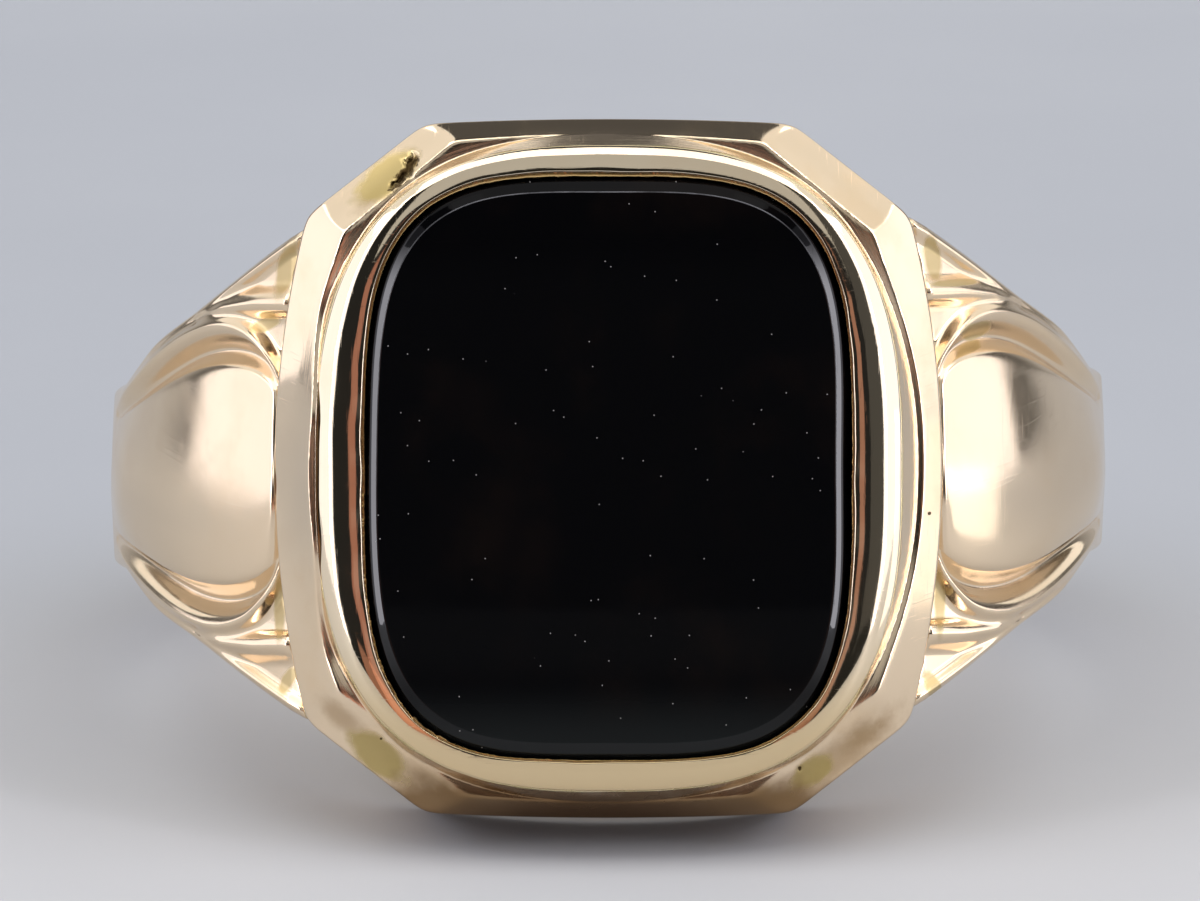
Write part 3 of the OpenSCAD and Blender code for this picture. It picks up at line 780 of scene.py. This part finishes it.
def arc_piece(name, start, end, rows, cols, worked, mat, side, grade=1.0, sink=0.0):
    """A closed length of the ring between two boundaries: skin, side walls and the finger side."""
    v = np.linspace(-1, 1, cols)
    v = np.sign(v) * (1 - (1 - np.abs(v)) ** 1.12)
    f = np.linspace(0, 1, rows)[:, None] ** grade
    soft = 0.10

    def skin(t, vv):
        return crown(t) + (relief(t, side * half_wide(t) * vv) if worked else 0) + edge_round(vv, t) - sink

    def strip(radius_of, vv):
        vv = np.atleast_1d(np.asarray(vv, float))
        return meets(start, radius_of, vv)[None, :] * (1 - f) + meets(end, radius_of, vv)[None, :] * f

    T = strip(skin, v)
    R = skin(T, np.broadcast_to(v, T.shape))
    if worked and callable(start) and not callable(end):
        R = R - 0.03 * np.exp(-((T - T[:1]) / 0.22) ** 2)
    Z = half_wide(T) * v[None, :]
    columns = [(R, T, Z)]

    def wall(sign):
        t_low = strip(lambda t, vv: np.full(np.shape(t), BORE_R + soft), [sign])[:, 0]
        t_top, r_top = (T[:, -1], R[:, -1]) if sign > 0 else (T[:, 0], R[:, 0])
        cells = []
        for k in (0.12, 0.3, 0.5, 0.7, 0.88, 1.0):
            t = t_top + (t_low - t_top) * k
            cells.append((r_top + (BORE_R + soft - r_top) * k, t, half_wide(t) * sign))
        cells.append((np.full(rows, BORE_R + soft * 0.3), t_low, (half_wide(t_low) - soft * 0.3) * sign))
        cells = cells if sign > 0 else cells[::-1]
        return tuple(np.stack([c[i] for c in cells], 1) for i in range(3))

    vb = np.linspace(1, -1, 21)
    tb = strip(lambda t, vv: np.full(np.shape(t), BORE_R), vb)
    under = (np.full(tb.shape, BORE_R), tb, (half_wide(tb) - soft) * vb[None, :])
    columns += [wall(1), under, wall(-1)]
    rr, tt, zz = (np.concatenate([c[i] for c in columns], 1) for i in range(3))
    tt = np.radians(tt)
    x = rr * np.sin(tt)
    z = zz + x * TURN
    h = rr * np.cos(tt)
    if side < 0:
        x, z = -x, -z
    pts = place(x, z, h).reshape(-1, 3)
    m = rr.shape[1]
    i, j = np.meshgrid(np.arange(rows - 1), np.arange(m), indexing="ij")
    k = (j + 1) % m
    quads = np.stack([i * m + j, i * m + k, (i + 1) * m + k, (i + 1) * m + j], axis=-1).reshape(-1, 4)
    tris, extra = [], []
    for row, flip in ((0, False), (rows - 1, True)):
        loop = row * m + np.arange(m)
        extra.append(pts[loop].mean(axis=0))
        c = len(pts) + len(extra) - 1
        tri = np.stack([np.full(m, c), loop, row * m + (np.arange(m) + 1) % m], 1)
        tris.append(tri if flip else tri[:, ::-1])
    pts = np.vstack([pts, np.array(extra)])
    return make(name, pts, quads[:, ::-1], np.concatenate(tris)[:, ::-1], mat)


def seam_at(gap):
    """Angle at which a point of the ring's metal meets the head's side."""
    def turn(r, z):
        x = HEAD_X - SIDE_BOW + np.sqrt(SIDE_BOW ** 2 - z * z) + gap
        return np.degrees(np.arcsin(np.clip(x / r, -1, 1)))
    return turn


def joint_turn():
    return math.degrees(SEAM_GAP / BORE_R)


def arcs():
    gap = SEAM_GAP * 0.35
    for side, word in ((-1, "left"), (1, "right")):
        ob = arc_piece("shoulder_" + word + "_worked", seam_at(gap), ARC_END, 320, 270, True,
                       MAT_SHOULDER, side, grade=1.15)
        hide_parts("shoulder_" + word)
        ob = arc_piece("shoulder_seam_" + word, seam_at(0.0), seam_at(gap), 5, 270, True,
                       MAT_SOLDER, side, sink=0.04)
        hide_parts("shoulder_solder_" + word)
    hoop = arc_piece("shank_hoop_band", ARC_END + joint_turn(), 360 - ARC_END - joint_turn(), 260, 60,
                     False, MAT_HOOP, 1)
    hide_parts("shank_hoop")


def finish_cad_nodes():
    """The three nodes that keep their CAD meshes get the same materials as the rest."""
    looks = {"bearing_ledge": MAT_INNER, "shank_solder_left": MAT_SOLDER, "shank_solder_right": MAT_SOLDER}
    for node, mat in looks.items():
        ob = bpy.data.objects[node]
        for slot in ob.material_slots:
            slot.material = mat
        if not ob.material_slots:
            ob.data.materials.append(mat)


stone_piece()
collar_piece()
frame_piece()
solder_piece()
saddle_piece()
arcs()
finish_cad_nodes()
SLOTS = {"onyx_stone": "onyx_tablet", "bezel_collar_rim": "bezel_collar", "head_frame_octagon": "head_frame",
         "bezel_solder_run": "bezel_solder", "gallery_saddle_plate": "gallery_saddle",
         "shoulder_left_worked": "shoulder_left", "shoulder_right_worked": "shoulder_right",
         "shank_hoop_band": "shank_hoop",
         "shoulder_seam_left": "shoulder_solder_left", "shoulder_seam_right": "shoulder_solder_right"}
for name, slot in SLOTS.items():
    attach(bpy.data.objects[name], "root")

# ---------------------------------------------------------------- camera, square on the stone
FACE = place(0, 0, TABLE_H)
NORMAL = Vector((0, -COS, SIN))
UP = Vector((0, SIN, COS))
RIGHT = Vector((1, 0, 0))
DISTANCE = 0.220
FIELD = 0.02526
SENSOR = 36.0
AIM_LEFT, AIM_UP = 0.000179, 0.000379
cam_data = bpy.data.cameras.new("camera")
cam_data.lens = SENSOR * DISTANCE / FIELD
cam_data.sensor_width = SENSOR
cam_data.clip_start, cam_data.clip_end = 0.01, 10.0
cam = bpy.data.objects.new("camera", cam_data)
bpy.context.scene.collection.objects.link(cam)
aim = Vector(FACE) - AIM_LEFT * RIGHT + AIM_UP * UP
cam.location = aim + NORMAL * DISTANCE
cam.rotation_euler = Matrix((RIGHT, UP, NORMAL)).transposed().to_euler()
bpy.context.scene.camera = cam

# ---------------------------------------------------------------- floor
FLOOR_GAP = 0.00001
FLOOR_Z = min(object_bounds()[0][2], CAD_BOX[0][2]) - FLOOR_GAP
FLOOR_RINGS = (0.001, 0.05, 0.12, 0.3, 0.8)
# painted light: the floor colour is lighter in front, near the camera, and darker behind
FLOOR_BACK = ((0.425, 0.443, 0.474), (0.49, 0.506, 0.530))
FLOOR_FORE = ((0.535, 0.544, 0.558), (0.60, 0.605, 0.614))


def floor_material():
    m = Nodes("pale_floor")
    n = m.noise(9.0, 5.0, 0.55, distort=0.6)
    back = m.mix(m.range(n, 0.35, 0.72), *FLOOR_BACK)
    fore = m.mix(m.range(n, 0.35, 0.72), *FLOOR_FORE)
    part = m.add("ShaderNodeSeparateXYZ")
    m.link(m.coord, part.inputs[0])
    # painted light: blends the darker back colour into the lighter front one across the floor's depth
    m.link(m.mix(m.range(part.outputs[1], -0.016, 0.012, 1.0, 0.0), back, fore), m.bsdf.inputs["Base Color"])
    m.link(m.range(m.noise(40.0, 3.0), 0.3, 0.7, 0.55, 0.65), m.bsdf.inputs["Roughness"])
    m.bsdf.inputs["Specular IOR Level"].default_value = 0.22
    return m.mat


def floor():
    steps = 96
    a = np.linspace(0, 2 * math.pi, steps, endpoint=False)
    i = np.arange(steps)
    k = (i + 1) % steps
    pts = [np.stack([r * np.cos(a), r * np.sin(a), np.full(steps, FLOOR_Z)], 1) for r in FLOOR_RINGS]
    quads = []
    for n in range(len(FLOOR_RINGS) - 1):
        near, far = n * steps, (n + 1) * steps
        quads.append(np.stack([near + i, far + i, far + k, near + k], 1))
    pts = np.vstack(pts + [[[0, 0, FLOOR_Z]]])
    quads = np.concatenate(quads)
    tris = np.stack([np.full(steps, len(pts) - 1), i, k], 1)
    ob = make("floor", pts, quads, tris, floor_material())


floor()


# ---------------------------------------------------------------- light
def toward(az, el):
    a, e = math.radians(az), math.radians(el)
    return (RIGHT * math.sin(a) + NORMAL * math.cos(a)) * math.cos(e) + UP * math.sin(e)


def softbox(name, az, el, wide, tall, light, colour=(1, 1, 1), dist=0.55):
    """A panel at a direction seen from the stone, sized in degrees, with its brightness as seen."""
    w, h = 2 * dist * math.tan(math.radians(wide / 2)), 2 * dist * math.tan(math.radians(tall / 2))
    data = bpy.data.lights.new(name, "AREA")
    data.shape = "RECTANGLE"
    data.size, data.size_y = w, h
    data.energy = light * w * h * math.pi
    data.color = colour
    ob = bpy.data.objects.new(name, data)
    d = toward(az, el)
    ob.location = Vector(FACE) + d * dist
    side = UP.cross(d)
    side.normalize()
    up = d.cross(side)
    ob.rotation_euler = Matrix((side, up, d)).transposed().to_euler()
    ob.visible_camera = False
    bpy.context.scene.collection.objects.link(ob)


# name, azimuth, elevation, width, height (degrees), brightness, colour, distance in metres
LIGHTS = (
    ("soft_left", -80, 7, 69, 70, 1.32, (0.98, 0.98, 1.09)),
    ("soft_right", 78, 6, 65, 70, 1.44, (0.98, 0.98, 1.09)),
    ("edge_left", -54, 16, 6, 60, 5.5, (0.95, 0.93, 1.0)),
    ("edge_right", 54, 18, 6, 64, 6.5, (0.95, 0.93, 1.0)),
    ("dim_right", 37, 15, 26, 46, 0.055),
    ("soft_left_high", -108, 56, 70, 36, 0.92),
    ("soft_right_high", 108, 56, 70, 36, 0.92),
    ("soft_top_front", 0, 33, 46, 44, 0.50),
    ("soft_top_strip", 0, 71, 66, 37, 1.8),
    ("card_below", 0, -7.4, 34, 12.2, 0.040),
    ("card_below_edge", 0, -9.0, 34, 12, 0.035),
    ("card_right", 94, -8, 22, 24, 0.88, (1.0, 0.98, 0.96), 0.032),
    ("warm_left", -14.5, -9, 11, 32, 0.36, (1.0, 0.44, 0.32), 0.5),
    ("warm_left_low", -19, -12, 26, 8, 0.30, (1.0, 0.47, 0.33), 0.45),
    ("warm_right", 12, -6, 8, 22, 0.34, (1.0, 0.50, 0.36), 0.5),
)
for light in LIGHTS:
    softbox(*light)

world = bpy.data.worlds.new("studio")
bpy.context.scene.world = world
world.use_nodes = True
wt = world.node_tree
wt.nodes.clear()
coord = wt.nodes.new("ShaderNodeTexCoord")


def facing(axis, *levels):
    """A smooth step by how far a direction leans to an axis."""
    dot = wt.nodes.new("ShaderNodeVectorMath")
    dot.operation = "DOT_PRODUCT"
    dot.inputs[1].default_value = axis
    wt.links.new(coord.outputs["Generated"], dot.inputs[0])
    step = wt.nodes.new("ShaderNodeMapRange")
    step.interpolation_type = "SMOOTHSTEP"
    for sock, value in zip(step.inputs[1:], levels):
        sock.default_value = value
    wt.links.new(dot.outputs["Value"], step.inputs[0])
    return step.outputs[0]


def combined(op, a, b):
    n = wt.nodes.new("ShaderNodeMath")
    n.operation = op
    wt.links.new(a, n.inputs[0])
    wt.links.new(b, n.inputs[1])
    return n.outputs[0]


behind = facing(NORMAL, -0.78, -0.46, 0.40, 0.02)
overhead = facing(UP, 0.15, 0.75, 1.0, 0.40)
front = facing(NORMAL, -0.38, 0.10, 0.08, 0.0)
glow = combined("ADD", combined("MULTIPLY", behind, overhead), front)
bg = wt.nodes.new("ShaderNodeBackground")
bg.inputs[0].default_value = (0.98, 1.0, 1.05, 1.0)
wt.links.new(glow, bg.inputs[1])
wo = wt.nodes.new("ShaderNodeOutputWorld")
wt.links.new(bg.outputs[0], wo.inputs[0])

bpy.context.scene.view_settings.view_transform = "Standard"
bpy.context.scene.view_settings.look = "None"
